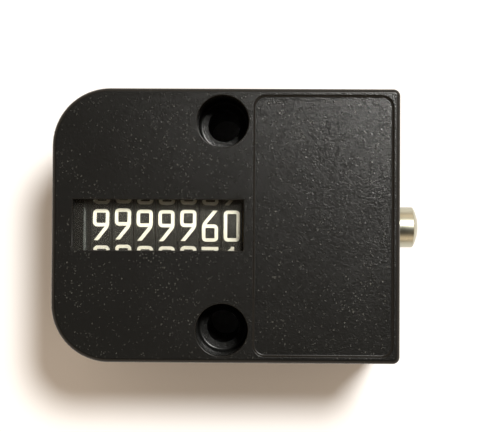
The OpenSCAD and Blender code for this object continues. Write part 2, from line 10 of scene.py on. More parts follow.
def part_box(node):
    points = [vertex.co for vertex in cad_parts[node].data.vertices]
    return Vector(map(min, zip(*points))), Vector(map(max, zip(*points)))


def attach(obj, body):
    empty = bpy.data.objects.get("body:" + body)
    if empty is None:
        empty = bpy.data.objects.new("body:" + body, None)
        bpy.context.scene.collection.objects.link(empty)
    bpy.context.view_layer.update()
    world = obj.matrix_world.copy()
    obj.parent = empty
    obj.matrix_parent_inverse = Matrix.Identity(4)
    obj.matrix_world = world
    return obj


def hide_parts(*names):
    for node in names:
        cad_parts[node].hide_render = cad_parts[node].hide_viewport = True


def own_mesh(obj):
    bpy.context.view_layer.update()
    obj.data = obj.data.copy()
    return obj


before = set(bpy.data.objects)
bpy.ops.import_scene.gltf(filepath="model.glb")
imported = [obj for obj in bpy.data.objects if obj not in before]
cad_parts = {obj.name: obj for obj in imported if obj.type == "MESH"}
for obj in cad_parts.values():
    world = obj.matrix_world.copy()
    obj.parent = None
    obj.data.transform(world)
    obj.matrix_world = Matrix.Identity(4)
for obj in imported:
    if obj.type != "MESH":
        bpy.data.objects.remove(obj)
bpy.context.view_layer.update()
scene = bpy.context.scene
mm = 0.001
tiny = 0.001  # two points closer than this, in mm, are one
past = 1  # mm that a cutting tool reaches beyond what it cuts


def linearColour(code):
    # sRGB hex to the linear values that shaders take
    parts = [int(code[i:i + 2], 16) / 255 for i in (1, 3, 5)]
    return [c / 12.92 if c <= 0.04045 else ((c + 0.055) / 1.055) ** 2.4 for c in parts] + [1.0]


def perMetre(sizeMm):
    # texture scale that gives a pattern of this size
    return 1 / (sizeMm * mm)


def nodeBox(name):
    # a CAD node's corners in millimetres
    low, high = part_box(name)
    return low / mm, high / mm


def startMaterial(name, settings):
    material = bpy.data.materials.new(name)
    material.use_nodes = True
    shader = material.node_tree.nodes["Principled BSDF"]
    for socket, value in settings.items():
        shader.inputs[socket].default_value = value
    return material, shader


def addNode(material, kind, settings=None, links=None):
    # one node; settings are socket values or properties, links are sockets and their sources
    node = material.node_tree.nodes.new(kind)
    for name, value in (settings or {}).items():
        if isinstance(name, int) or name in node.inputs:
            node.inputs[name].default_value = value
        else:
            setattr(node, name, value)
    for name, source in (links or {}).items():
        material.node_tree.links.new(source, node.inputs[name])
    return node


def connect(material, source, shader, socket):
    material.node_tree.links.new(source, shader.inputs[socket])


def erodedNylon(name, spec):
    # black glass-filled nylon off a spark-eroded tool: matt and dark, with a fine bright grain of
    # light points that are partly glass fibre ends and partly painted glints
    material, shader = startMaterial(name, {
        "Metallic": 0.0,
        "IOR": 1.53,
        "Specular IOR Level": spec["gloss"],
    })
    place = addNode(material, "ShaderNodeTexCoord").outputs["Object"]
    grit = addNode(material, "ShaderNodeTexVoronoi", {
        "feature": "SMOOTH_F1", "Scale": perMetre(spec["grit"]), "Smoothness": 0.5,
    }, {"Vector": place}).outputs["Distance"]
    fibre = addNode(material, "ShaderNodeTexVoronoi", {
        "Scale": perMetre(spec["grit"]),
    }, {"Vector": place}).outputs["Color"]
    patch = addNode(material, "ShaderNodeTexNoise", {
        "Scale": perMetre(spec["patch"]), "Detail": 2.0,
    }, {"Vector": place}).outputs["Fac"]
    # a few cells in each hundred take the light colour: the bright end of a glass fibre, and also a
    # painted glint in place of the lamp's sparkle; more in some patches
    patchShare = 0.2
    level = addNode(material, "ShaderNodeMath", {
        "operation": "MULTIPLY_ADD", 1: patchShare,
    }, {0: patch, 2: fibre}).outputs[0]
    fibreAndGlintSpecks = addNode(material, "ShaderNodeMapRange", {
        "From Min": spec["glintSpeckFrom"], "From Max": spec["glintSpeckTo"],
    }, {"Value": level}).outputs[0]
    colour = addNode(material, "ShaderNodeMix", {
        "data_type": "RGBA", 6: linearColour(spec["dark"]), 7: linearColour(spec["light"]),
    }, {0: fibreAndGlintSpecks}).outputs[2]
    connect(material, colour, shader, "Base Color")
    dull = addNode(material, "ShaderNodeMapRange", {
        "To Min": spec["rough"][0], "To Max": spec["rough"][1],
    }, {"Value": patch}).outputs[0]
    connect(material, dull, shader, "Roughness")
    bump = addNode(material, "ShaderNodeBump", {
        "Strength": spec["bump"], "Distance": spec["relief"] * mm,
    }, {"Height": grit})
    connect(material, bump.outputs[0], shader, "Normal")
    return material


def mouldedAcetal(name, spec):
    # moulded acetal: waxy, a little soft in its highlights, with faint flow mottling
    material, shader = startMaterial(name, {
        "Metallic": 0.0,
        "IOR": 1.48,
        "Specular IOR Level": spec["gloss"],
    })
    place = addNode(material, "ShaderNodeTexCoord").outputs["Object"]
    flow = addNode(material, "ShaderNodeTexNoise", {
        "Scale": perMetre(spec["flow"]), "Detail": 3.0,
    }, {"Vector": place}).outputs["Fac"]
    fine = addNode(material, "ShaderNodeTexNoise", {
        "Scale": perMetre(spec["fine"]), "Detail": 2.0,
    }, {"Vector": place}).outputs["Fac"]
    colour = addNode(material, "ShaderNodeMix", {
        "data_type": "RGBA", 6: linearColour(spec["dark"]), 7: linearColour(spec["light"]),
    }, {0: flow}).outputs[2]
    connect(material, colour, shader, "Base Color")
    dull = addNode(material, "ShaderNodeMapRange", {
        "To Min": spec["rough"][0], "To Max": spec["rough"][1],
    }, {"Value": fine}).outputs[0]
    connect(material, dull, shader, "Roughness")
    bump = addNode(material, "ShaderNodeBump", {
        "Strength": 0.4, "Distance": spec["relief"] * mm,
    }, {"Height": fine})
    connect(material, bump.outputs[0], shader, "Normal")
    return material


def workedMetal(name, spec):
    # worked metal: its grain is drawn out along the cut, and stains change the roughness slowly
    material, shader = startMaterial(name, {"Metallic": 1.0})
    place = addNode(material, "ShaderNodeTexCoord").outputs["Object"]
    drawn = addNode(material, "ShaderNodeMapping", {
        "Scale": spec["along"],
    }, {"Vector": place}).outputs[0]
    grain = addNode(material, "ShaderNodeTexNoise", {
        "Scale": perMetre(spec["grain"]), "Detail": 3.0,
    }, {"Vector": drawn}).outputs["Fac"]
    stain = addNode(material, "ShaderNodeTexNoise", {
        "Scale": perMetre(spec["stain"]), "Detail": 3.0,
    }, {"Vector": place}).outputs["Fac"]
    grainShare = 0.5
    both = addNode(material, "ShaderNodeMath", {
        "operation": "MULTIPLY_ADD", 1: grainShare,
    }, {0: grain, 2: stain}).outputs[0]
    dullest = 0.45  # most of the two patterns' sum lies between these
    brightest = 1.05
    dull = addNode(material, "ShaderNodeMapRange", {
        "From Min": dullest, "From Max": brightest,
        "To Min": spec["rough"][0], "To Max": spec["rough"][1],
    }, {"Value": both}).outputs[0]
    connect(material, dull, shader, "Roughness")
    colour = addNode(material, "ShaderNodeMix", {
        "data_type": "RGBA", 6: linearColour(spec["dark"]), 7: linearColour(spec["light"]),
    }, {0: stain}).outputs[2]
    connect(material, colour, shader, "Base Color")
    bump = addNode(material, "ShaderNodeBump", {
        "Strength": 0.5, "Distance": spec["relief"] * mm,
    }, {"Height": grain})
    connect(material, bump.outputs[0], shader, "Normal")
    return material


def clearPolycarbonate(name, spec):
    # clear window, wiped but never quite clean: a thin haze that turns what is behind it olive
    material, shader = startMaterial(name, {
        "Metallic": 0.0,
        "IOR": 1.585,
        "Transmission Weight": spec["clear"],
    })
    place = addNode(material, "ShaderNodeTexCoord").outputs["Object"]
    haze = addNode(material, "ShaderNodeTexNoise", {
        "Scale": perMetre(spec["haze"]), "Detail": 4.0,
    }, {"Vector": place}).outputs["Fac"]
    colour = addNode(material, "ShaderNodeMix", {
        "data_type": "RGBA", 6: linearColour(spec["dark"]), 7: linearColour(spec["light"]),
    }, {0: haze}).outputs[2]
    connect(material, colour, shader, "Base Color")
    dull = addNode(material, "ShaderNodeMapRange", {
        "To Min": spec["rough"][0], "To Max": spec["rough"][1],
    }, {"Value": haze}).outputs[0]
    connect(material, dull, shader, "Roughness")
    return material


def paperWhite(name, spec):
    # plain pale table top with the least unevenness
    material, shader = startMaterial(name, {"Roughness": 0.85})
    place = addNode(material, "ShaderNodeTexCoord").outputs["Object"]
    uneven = addNode(material, "ShaderNodeTexNoise", {
        "Scale": perMetre(spec["uneven"]), "Detail": 2.0,
    }, {"Vector": place}).outputs["Fac"]
    colour = addNode(material, "ShaderNodeMix", {
        "data_type": "RGBA", 6: linearColour(spec["dark"]), 7: linearColour(spec["light"]),
    }, {0: uneven}).outputs[2]
    connect(material, colour, shader, "Base Color")
    return material


# grit, patch, flow, fine, grain, stain, haze and uneven are the sizes of patterns in mm, and
# relief is a bump's height. Real grit is near 0.1 mm and turning marks near 0.05 mm: both are
# drawn coarser so that they show.
# the light colour of these nylons is partly painted glint, partly glass fibre ends
housingNylon = erodedNylon("nylon_eroded", {
    "dark": "#161615", "light": "#4c4d49", "grit": 0.21, "patch": 14,
    "glintSpeckFrom": 0.95, "glintSpeckTo": 1.1, "rough": (0.2, 0.28), "gloss": 0.3,
    "bump": 1.0, "relief": 0.032,
})
# the tool's edges were polished, so they mould smoother and darker than its faces
polishedNylon = erodedNylon("nylon_polished_edge", {
    "dark": "#131312", "light": "#2a2a28", "grit": 0.21, "patch": 8,
    "glintSpeckFrom": 0.95, "glintSpeckTo": 1.1, "rough": (0.24, 0.32), "gloss": 0.25,
    "bump": 0.5, "relief": 0.012,
})
# plain moulded back: smoother, with broad soft highlights
coverNylon = erodedNylon("nylon_smooth", {
    "dark": "#161617", "light": "#3a3a38", "grit": 0.4, "patch": 18,
    "glintSpeckFrom": 0.82, "glintSpeckTo": 1.0, "rough": (0.42, 0.55), "gloss": 0.45,
    "bump": 0.35, "relief": 0.03,
})
# the wheels: near black and dull, so that the figures stand out
wheelAcetal = mouldedAcetal("acetal_black", {
    "dark": "#141414", "light": "#1b1b1a", "flow": 3, "fine": 0.2,
    "rough": (0.42, 0.55), "relief": 0.01, "gloss": 0.12,
})
# hot-stamped foil on the wheels: chalky off-white
figureFoil = mouldedAcetal("foil_white", {
    "dark": "#c2c1ba", "light": "#cfcec8", "flow": 0.6, "fine": 0.12,
    "rough": (0.5, 0.65), "relief": 0.008, "gloss": 0.3,
})
# undyed acetal: milky bushes and carriers
whiteAcetal = mouldedAcetal("acetal_natural", {
    "dark": "#d5d0c2", "light": "#e4e1d6", "flow": 2.5, "fine": 0.3,
    "rough": (0.32, 0.45), "relief": 0.01, "gloss": 0.5,
})
# the same, yellowed with oil, for the pinions
ivoryAcetal = mouldedAcetal("acetal_ivory", {
    "dark": "#b9ae90", "light": "#c9c0a6", "flow": 2, "fine": 0.3,
    "rough": (0.34, 0.48), "relief": 0.01, "gloss": 0.5,
})
# how fast the grain changes along X, Y and Z: rings round a turned piece, lines along others
turned = (1.0, 0.04, 0.04)
rolled = (0.08, 1.0, 1.0)
drawnUp = (1.0, 1.0, 0.06)
even = (1, 1, 1)
# bright nickel with a warm cast, over turning rings
nickelPlate = workedMetal("nickel_turned", {
    "dark": "#a3a392", "light": "#bdbdae", "grain": 0.12, "along": turned, "stain": 3,
    "rough": (0.24, 0.4), "relief": 0.006,
})
# free-cutting brass: yellow, with fine turning rings
turnedBrass = workedMetal("brass_turned", {
    "dark": "#a5823c", "light": "#c4a35a", "grain": 0.12, "along": turned, "stain": 2,
    "rough": (0.25, 0.42), "relief": 0.006,
})
# bright zinc: pale and bluish, a little cloudy
zincScrew = workedMetal("zinc_plated_screw", {
    "dark": "#8d9094", "light": "#b3b6b8", "grain": 0.2, "along": drawnUp, "stain": 1.2,
    "rough": (0.28, 0.48), "relief": 0.008,
})
# black-passivated zinc sheet: dark grey and satin, with its rolling lines
zincSheet = workedMetal("zinc_plated_sheet", {
    "dark": "#3c4042", "light": "#585c5e", "grain": 0.25, "along": rolled, "stain": 4,
    "rough": (0.5, 0.68), "relief": 0.006,
})
# centreless-ground rod: the brightest steel here
groundSteel = workedMetal("ground_rod", {
    "dark": "#a9abae", "light": "#c2c4c6", "grain": 0.1, "along": turned, "stain": 5,
    "rough": (0.2, 0.32), "relief": 0.004,
})
# tempered strip and wire: blue-grey
springSteel = workedMetal("spring_steel", {
    "dark": "#5d6268", "light": "#868b90", "grain": 0.2, "along": rolled, "stain": 1.5,
    "rough": (0.28, 0.45), "relief": 0.004,
})
# headed rivets: plain grey, with no direction to the grain
rivetSteel = workedMetal("rivet_steel", {
    "dark": "#85878a", "light": "#a8aaac", "grain": 0.2, "along": even, "stain": 0.8,
    "rough": (0.3, 0.45), "relief": 0.006,
})
# pressed and sintered lever: dull, with fine pores
sinteredSteel = workedMetal("sintered_steel", {
    "dark": "#6d7073", "light": "#8d9093", "grain": 0.15, "along": even, "stain": 1,
    "rough": (0.42, 0.6), "relief": 0.015,
})
windowClear = clearPolycarbonate("polycarbonate_clear", {
    "dark": "#eceade", "light": "#f6f5ee", "haze": 3, "rough": (0.02, 0.09),
    "clear": 0.988,
})
tableTop = paperWhite("table_white", {"dark": "#f2f2f4", "light": "#f7f7f9", "uneven": 60})
print("materials ready")


def bevelEdges(bm, edges, width, steps):
    bmesh.ops.bevel(
        bm, geom=edges, offset=width, offset_type="OFFSET", segments=steps,
        profile=0.5, affect="EDGES", material=-1, clamp_overlap=False,
    )


def slab(x0, x1, y0, y1, z0, z1, leftR=0.0, rightR=0.0, steps=12):
    # a box with its upright edges rounded, each side with its own radius
    bm = bmesh.new()
    bmesh.ops.create_cube(bm, size=1)
    bmesh.ops.scale(bm, vec=(x1 - x0, y1 - y0, z1 - z0), verts=bm.verts)
    centre = Vector(((x0 + x1) / 2, (y0 + y1) / 2, (z0 + z1) / 2))
    bmesh.ops.translate(bm, vec=centre, verts=bm.verts)
    for x, radius in ((x0, leftR), (x1, rightR)):
        if radius:
            edges = [
                e for e in bm.edges
                if all(abs(v.co.x - x) < tiny for v in e.verts)
                and abs(e.verts[0].co.z - e.verts[1].co.z) > tiny
            ]
            bevelEdges(bm, edges, radius, steps)
    return bm


def edgesAt(bm, z, sharperThan=30):
    # edges that lie in the plane z and turn by more than this many degrees
    return [
        e for e in bm.edges
        if all(abs(v.co.z - z) < tiny for v in e.verts)
        and math.degrees(e.calc_face_angle(0)) > sharperThan
    ]


def lathe(profile, axis, start, steps):
    # turns a profile of (distance along the axis, radius) round the axis through start
    bm = bmesh.new()
    start = Vector(start)
    along = Vector((1, 0, 0)) if axis == "X" else Vector((0, 0, 1))
    across = Vector((0, 1, 0))
    corners = [bm.verts.new(start + along * d + across * r) for d, r in profile]
    edges = [bm.edges.new(pair) for pair in zip(corners, corners[1:])]
    bmesh.ops.spin(
        bm, geom=corners + edges, cent=start, axis=along, angle=math.tau, steps=steps,
        use_merge=True, use_duplicate=False,
    )
    bmesh.ops.remove_doubles(bm, verts=bm.verts, dist=tiny / 10)
    bmesh.ops.dissolve_degenerate(bm, edges=bm.edges, dist=tiny / 10)
    bmesh.ops.recalc_face_normals(bm, faces=bm.faces)
    return bm


def merged(parts):
    # several bmeshes as one
    bm = bmesh.new()
    for part in parts:
        mesh = bpy.data.meshes.new("part")
        part.to_mesh(mesh)
        part.free()
        bm.from_mesh(mesh)
        bpy.data.meshes.remove(mesh)
    return bm


def workObject(bm):
    # a working object in millimetres, for booleans
    bmesh.ops.recalc_face_normals(bm, faces=bm.faces)
    mesh = bpy.data.meshes.new("work")
    bm.to_mesh(mesh)
    bm.free()
    work = bpy.data.objects.new("work", mesh)
    scene.collection.objects.link(work)
    return work


def evaluated(work):
    # a working object's shape after its modifiers
    bm = bmesh.new()
    bm.from_object(work, bpy.context.evaluated_depsgraph_get())
    return bm


def cut(bm, tools):
    # tools is a list of (operation, bmesh), worked in order
    base = workObject(bm)
    helpers = [base]
    for operation, tool in tools:
        helper = workObject(tool)
        boolean = base.modifiers.new("cut", "BOOLEAN")
        boolean.operation = operation
        boolean.solver = "EXACT"
        boolean.object = helper
        helpers.append(helper)
    bpy.context.view_layer.update()
    result = evaluated(base)
    for helper in helpers:
        bpy.data.objects.remove(helper)
    bmesh.ops.remove_doubles(result, verts=result.verts, dist=tiny / 10)
    bmesh.ops.dissolve_degenerate(result, edges=result.edges, dist=tiny / 10)
    return result


def addPiece(name, bm, material, body, replaces=()):
    # brings a finished bmesh from millimetres to metres, and puts it on its body
    smoothUpTo = 32  # degrees between two faces that still shade as one
    bmesh.ops.scale(bm, vec=(mm, mm, mm), verts=bm.verts)
    mesh = bpy.data.meshes.new(name)
    bm.to_mesh(mesh)
    bm.free()
    mesh.materials.append(material)
    mesh.shade_smooth()
    mesh.set_sharp_from_angle(angle=math.radians(smoothUpTo))
    piece = bpy.data.objects.new(name, mesh)
    scene.collection.objects.link(piece)
    weighted = piece.modifiers.new("weighted", "WEIGHTED_NORMAL")
    weighted.keep_sharp = True
    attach(piece, body)
    if replaces:
        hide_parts(*replaces)
    return piece


def shifted(bm, x, y):
    bmesh.ops.translate(bm, vec=(x, y, 0), verts=bm.verts)
    return bm


def post(centre, radius, low, high):
    # an upright round bar, to add or to cut with
    profile = [(low, 0), (low, radius), (high, radius), (high, 0)]
    return shifted(lathe(profile, "Z", (0, 0, 0), steps=40), *centre)


housingLow, housingHigh = nodeBox("housing")
lensLow, lensHigh = nodeBox("window_lens")
coverLow, coverHigh = nodeBox("rear_cover")
coverScrewLow, coverScrewHigh = nodeBox("cover_screws")
frameScrewLow, frameScrewHigh = nodeBox("frame_screws")
plungerLow, plungerHigh = nodeBox("plunger")
plungerZ = (plungerLow.z + plungerHigh.z) / 2
housingSpec = {
    "wall": 2.2, "frontWall": 2.5,
    "leftCorner": 10, "rightCorner": 1.2, "innerRightCorner": 0.5, "frontEdge": 0.8,
    "holeY": 18, "holeR": 2.9, "counterR": 4.5, "counterDepth": 9, "bossR": 5.8,
    "lensLap": 1.1, "lensGap": 0.02,
    "pocketLeft": 5.4, "pocketRim": 1.2, "pocketR": 2, "pocketDepth": 0.5,
    "rimBreak": 0.16,  # how far moulded edges are broken
    "pocketFillet": 0.34, "counterFillet": 0.6,
    "polished": (0.05, 0.995),  # upward parts of the normals on edges and fillets
    "framePost": (2.2, 3.2),  # radius, and height of its free end
    "cornerPost": (2.8, 2.0), "cornerPostTop": 12,
    "pilotR": 1.1, "pilotTop": 8,
    "boreR": 4.52, "boreReach": (-2, 4),  # along X from the right wall's inner face
}
left, right = housingLow.x, housingHigh.x
half, depth = housingHigh.y, housingHigh.z
innerLeft = left + housingSpec["wall"]
innerRight = right - housingSpec["wall"]
innerHalf = half - housingSpec["wall"]

# centres of the four cover screws and of the four frame screws
screwPlaces = {
    "coverHeadR": 2.0, "frameHeadR": 1.9,
    "leftDraw": 1.014,  # how much further in the left screws stand, beside the large corners
}
coverHeadR = screwPlaces["coverHeadR"]
frameHeadR = screwPlaces["frameHeadR"]
coverY = coverScrewHigh.y - coverHeadR
coverScrews = [
    (x, side * y)
    for x, y in (
        (coverScrewLow.x + coverHeadR, coverY - screwPlaces["leftDraw"]),
        (coverScrewHigh.x - coverHeadR, coverY),
    )
    for side in (1, -1)
]
frameScrews = [
    (x, y)
    for x in (frameScrewLow.x + frameHeadR, frameScrewHigh.x - frameHeadR)
    for y in (frameScrewLow.y + frameHeadR, frameScrewHigh.y - frameHeadR)
]


def buildHousing():
    h = housingSpec
    shell = slab(left, right, -half, half, 0, depth, h["leftCorner"], h["rightCorner"], steps=20)
    bevelEdges(shell, edgesAt(shell, depth), h["frontEdge"], steps=5)

    # the hollow behind the front wall, less the bosses and posts that stand in it
    cavityTop = depth - h["frontWall"]
    cavity = slab(
        innerLeft, innerRight, -innerHalf, innerHalf, -2 * past, cavityTop,
        h["leftCorner"] - h["wall"], h["innerRightCorner"], steps=16,
    )
    postR, postLow = h["framePost"]
    cornerR, cornerLow = h["cornerPost"]
    posts = [post((0, side * h["holeY"]), h["bossR"], -3 * past, depth) for side in (-1, 1)]
    posts += [post(centre, postR, postLow, depth) for centre in frameScrews]
    posts += [post(centre, cornerR, cornerLow, h["cornerPostTop"]) for centre in coverScrews]
    cavity = cut(cavity, [("DIFFERENCE", merged(posts))])

    # the screw holes, with a fillet where the counterbore meets its shoulder
    shoulder = depth - h["counterDepth"]
    fillet = h["counterFillet"]
    filletSteps = 6
    turns = [math.pi / 2 * i / filletSteps for i in range(filletSteps + 1)]
    curve = [
        (shoulder + fillet * (1 - math.cos(a)), h["counterR"] - fillet * (1 - math.sin(a)))
        for a in turns
    ]
    bore = [(-past, 0), (-past, h["holeR"]), (shoulder, h["holeR"])] + curve
    bore += [(depth + past, h["counterR"]), (depth + past, 0)]
    holes = [
        shifted(lathe(bore, "Z", (0, 0, 0), steps=72), 0, side * h["holeY"]) for side in (-1, 1)
    ]

    # window, the lens's seat behind it, and the pocket
    lap = h["lensLap"]
    gap = h["lensGap"]
    window = slab(
        lensLow.x + lap, lensHigh.x - lap, lensLow.y + lap, lensHigh.y - lap,
        cavityTop - past, depth + past,
    )
    seat = slab(
        lensLow.x - gap, lensHigh.x + gap, lensLow.y - gap, lensHigh.y + gap,
        lensLow.z - past, lensHigh.z,
    )
    rim = h["pocketRim"]
    pocketFloor = depth - h["pocketDepth"]
    pocket = slab(
        h["pocketLeft"], right - rim, -half + rim, half - rim, pocketFloor, depth + past,
        h["pocketR"], h["pocketR"], steps=10,
    )

    boreStart, boreEnd = h["boreReach"]
    bushBore = lathe([
        (boreStart, 0), (boreStart, h["boreR"]), (boreEnd, h["boreR"]), (boreEnd, 0),
    ], "X", (innerRight, 0, plungerZ), steps=64)
    pilots = [post(centre, h["pilotR"], -past, h["pilotTop"]) for centre in coverScrews]
    shell = cut(shell, [
        ("DIFFERENCE", cavity),
        ("DIFFERENCE", merged(holes + [window, pocket, bushBore] + pilots)),
        ("DIFFERENCE", seat),
    ])
    bevelEdges(shell, edgesAt(shell, pocketFloor), h["pocketFillet"], steps=5)
    bevelEdges(shell, edgesAt(shell, depth), h["rimBreak"], steps=3)

    # the second material goes on edges and fillets
    steepest, flattest = h["polished"]
    for face in shell.faces:
        if steepest < face.normal.z < flattest:
            face.material_index = 1
    piece = addPiece("housing_shell", shell, housingNylon, "case", ["housing"])
    piece.data.materials.append(polishedNylon)


buildHousing()
print("housing built")


lensSpec = {"corner": 0.3, "edge": 0.08}


def buildLens():
    corner = lensSpec["corner"]
    lens = slab(
        lensLow.x, lensHigh.x, lensLow.y, lensHigh.y, lensLow.z, lensHigh.z,
        corner, corner, steps=3,
    )
    rims = edgesAt(lens, lensHigh.z) + edgesAt(lens, lensLow.z)
    bevelEdges(lens, rims, lensSpec["edge"], steps=2)
    piece = addPiece("lens_pane", lens, windowClear, "case", ["window_lens"])
    piece.visible_shadow = False  # lets the lamp through to the wheels


buildLens()
print("lens built")


figureSpec = {
    "width": 2.84, "height": 5.5, "stroke": 0.61, "corner": 0.45,
    "proud": 0.035, "sunk": 0.03,  # above and below the wheel's rim
    "bend": 0.45,  # from one cut across a figure to the next, for wrapping it round the wheel
    "step": 36,  # degrees from one figure to the next
    "shown": (9, 9, 9, 9, 9, 6, 0),
    "slack": (0.3, 1.1, 0.0, -0.3, 0.1, -0.6, -0.4),  # degrees that play leaves each wheel off true
}
# strokes of each figure on its centre line, from -1 to 1 both ways; a loop is closed
nine = [
    ("loop", [(-1, 0), (1, 0), (1, 1), (-1, 1)]),
    ("line", [(1, 0.5), (1, -0.09), (-1.05, -1.25)]),
]
figureStrokes = {
    0: [("loop", [(-1, -1), (1, -1), (1, 1), (-1, 1)])],
    1: [("line", [(0.1, -1.2), (0.1, 1.15)]), ("line", [(0.1, 0.96), (-0.75, 0.62)])],
    2: [("line", [(-1, 0.45), (-1, 1), (1, 1), (1, 0.1), (-0.85, -0.85)]),
        ("line", [(-1.33, -1), (1.33, -1)])],
    3: [("line", [(-1, 0.55), (-1, 1), (1, 1), (1, 0.06), (-0.45, 0.06)]),
        ("line", [(-0.45, 0.06), (1, 0.06), (1, -1), (-1, -1), (-1, -0.55)])],
    4: [("line", [(0.3, 1.25), (-1.0, -0.4)]), ("line", [(-1.3, -0.42), (1.33, -0.42)]),
        ("line", [(0.5, 0.3), (0.5, -1.2)])],
    5: [("line", [(1.2, 1), (-0.95, 1)]), ("line", [(-0.95, 1.14), (-0.95, 0.1)]),
        ("line", [(-1.25, 0.16), (1, 0.16), (1, -1), (-1, -1), (-1, -0.55)])],
    6: [(kind, [(-x, -y) for x, y in points]) for kind, points in nine],
    7: [("line", [(-1.33, 1), (1.3, 1)]), ("line", [(1.0, 1.0), (-0.35, -1.2)])],
    8: [("loop", [(-0.92, 0.06), (0.92, 0.06), (0.92, 1), (-0.92, 1)]),
        ("loop", [(-1, -1), (1, -1), (1, 0.06), (-1, 0.06)])],
    9: nine,
}


def roundedPath(points, closed, radius):
    # each corner becomes a short curve that starts and ends one radius away
    pull = 0.55  # of the way to the corner, which makes a right angle's curve round
    curveSteps = 6
    path = []
    for i, point in enumerate(points):
        if not closed and i in (0, len(points) - 1):
            path.append(point)
            continue
        before = points[i - 1]
        after = points[(i + 1) % len(points)]
        a = point + (before - point).normalized() * radius
        b = point + (after - point).normalized() * radius
        path += interpolate_bezier(a, a.lerp(point, pull), b.lerp(point, pull), b, curveSteps)
    return path


def strokeObject(kind, points):
    # the centre line, pulled up to a wall and thickened evenly to the stroke's width
    f = figureSpec
    halfWide = (f["width"] - f["stroke"]) / 2
    halfTall = (f["height"] - f["stroke"]) / 2
    corners = [Vector((x * halfWide, y * halfTall, -f["sunk"])) for x, y in points]
    closed = kind == "loop"
    bm = bmesh.new()
    verts = [bm.verts.new(p) for p in roundedPath(corners, closed, f["corner"])]
    ends = verts[1:] + verts[:1] if closed else verts[1:]
    edges = [bm.edges.new(pair) for pair in zip(verts, ends)]
    wall = bmesh.ops.extrude_edge_only(bm, edges=edges)["geom"]
    raised = [g for g in wall if isinstance(g, bmesh.types.BMVert)]
    bmesh.ops.translate(bm, vec=(0, 0, f["sunk"] + f["proud"]), verts=raised)
    stroke = workObject(bm)
    thicken = stroke.modifiers.new("thicken", "SOLIDIFY")
    thicken.thickness = f["stroke"]
    thicken.offset = 0
    thicken.use_even_offset = True
    return stroke


def flatFigure(strokes):
    # one figure, flat and closed, cut level at top and bottom, with cuts across for bending
    f = figureSpec
    parts = [strokeObject(kind, points) for kind, points in strokes]
    bpy.context.view_layer.update()
    solids = [evaluated(part) for part in parts]
    for part in parts:
        bpy.data.objects.remove(part)
    bm = cut(solids[0], [("UNION", solid) for solid in solids[1:]])
    for side in (-1, 1):
        edge = bmesh.ops.bisect_plane(
            bm, geom=bm.verts[:] + bm.edges[:] + bm.faces[:], dist=tiny / 10,
            plane_co=(0, side * f["height"] / 2, 0), plane_no=(0, side, 0), clear_outer=True,
        )["geom_cut"]
        loose = [e for e in edge if isinstance(e, bmesh.types.BMEdge) and e.is_boundary]
        if loose:
            bmesh.ops.contextual_create(bm, geom=loose)
    y = -f["height"] / 2 + f["bend"]
    while y < f["height"] / 2:
        bmesh.ops.bisect_plane(
            bm, geom=bm.verts[:] + bm.edges[:] + bm.faces[:], dist=tiny / 10,
            plane_co=(0, y, 0), plane_no=(0, 1, 0),
        )
        y += f["bend"]
    bmesh.ops.remove_doubles(bm, verts=bm.verts, dist=tiny / 10)
    mesh = bpy.data.meshes.new("figure")
    bm.to_mesh(mesh)
    bm.free()
    return mesh


def buildFigures(flatFigures):
    f = figureSpec
    for k, (shown, slack) in enumerate(zip(f["shown"], f["slack"]), 1):
        low, high = nodeBox(f"number_wheel_{k}")
        centre = (low + high) / 2
        radius = (high.z - low.z) / 2
        bm = bmesh.new()
        for figure, mesh in flatFigures.items():
            # higher figures stand below the one shown
            turn = math.radians(slack - f["step"] * (figure - shown))
            start = len(bm.verts)
            bm.from_mesh(mesh)
            bm.verts.ensure_lookup_table()
            for v in bm.verts[start:]:
                angle = turn + v.co.y / radius
                reach = radius + v.co.z
                v.co = Vector((
                    centre.x + v.co.x,
                    reach * math.sin(angle),
                    centre.z + reach * math.cos(angle),
                ))
        body = "units" if k == len(f["shown"]) else f"wheel_{k}"
        addPiece(f"wheel_figures_{k}", bm, figureFoil, body)


flatFigures = {figure: flatFigure(strokes) for figure, strokes in figureStrokes.items()}
buildFigures(flatFigures)
for mesh in flatFigures.values():
    bpy.data.meshes.remove(mesh)
print("figures built")


plungerSpec = {
    "r": 3.7, "tipRound": 0.4, "tipCrown": 0.5, "tipFlatR": 1.8,
    "tipPull": 0.6, "tipSwell": 0.1,  # where the tip's curve leaves the side
    "collarR": 4.9, "collarLength": 1.4, "stemR": 2, "stemTipR": 0.9, "stemTaper": 1.2,
    "edge": 0.12, "springGap": 0.02,
}
bushSpec = {"slide": 0.05, "press": 0.02, "edge": 0.12}  # gaps round the plunger and the bush
springSpec = {
    "wireR": 0.2, "coilR": 2.75, "liveTurns": 3.25, "steps": 24,
    "deadTurns": 1, "deadPitch": 2.1,  # closed turns at each end, pitch in wire radii
    "keep": 0.41,  # length left at full stroke
}


def buildPlunger():
    p = plungerSpec
    edge = p["edge"]
    collar = nodeBox("plunger_spring")[1].x + p["springGap"] - plungerLow.x
    collarEnd = collar + p["collarLength"]
    length = plungerHigh.x - plungerLow.x
    sideEnd = length - p["tipCrown"] - p["tipRound"]
    profile = [
        (0, 0), (0, p["stemTipR"] - edge), (edge, p["stemTipR"]), (p["stemTaper"], p["stemR"]),
        (collar, p["stemR"]), (collar, p["collarR"] - edge), (collar + edge, p["collarR"]),
        (collarEnd - edge, p["collarR"]), (collarEnd, p["collarR"] - edge),
        (collarEnd, p["r"]), (sideEnd, p["r"]),
    ]
    # the tip is one smooth curve from the side to the flat end
    side = Vector((sideEnd, p["r"]))
    knee = Vector((length - p["tipCrown"], p["r"] - p["tipRound"]))
    flat = Vector((length, p["tipFlatR"]))
    leave = side.lerp(knee, p["tipPull"]) + Vector((0, p["tipSwell"]))
    tip = interpolate_bezier(side, leave, knee, flat, 10)
    profile += [tuple(point)[:2] for point in tip[1:]] + [(length, 0)]
    pin = lathe(profile, "X", (plungerLow.x, 0, plungerZ), steps=72)
    addPiece("plunger_pin", pin, nickelPlate, "plunger", ["plunger"])


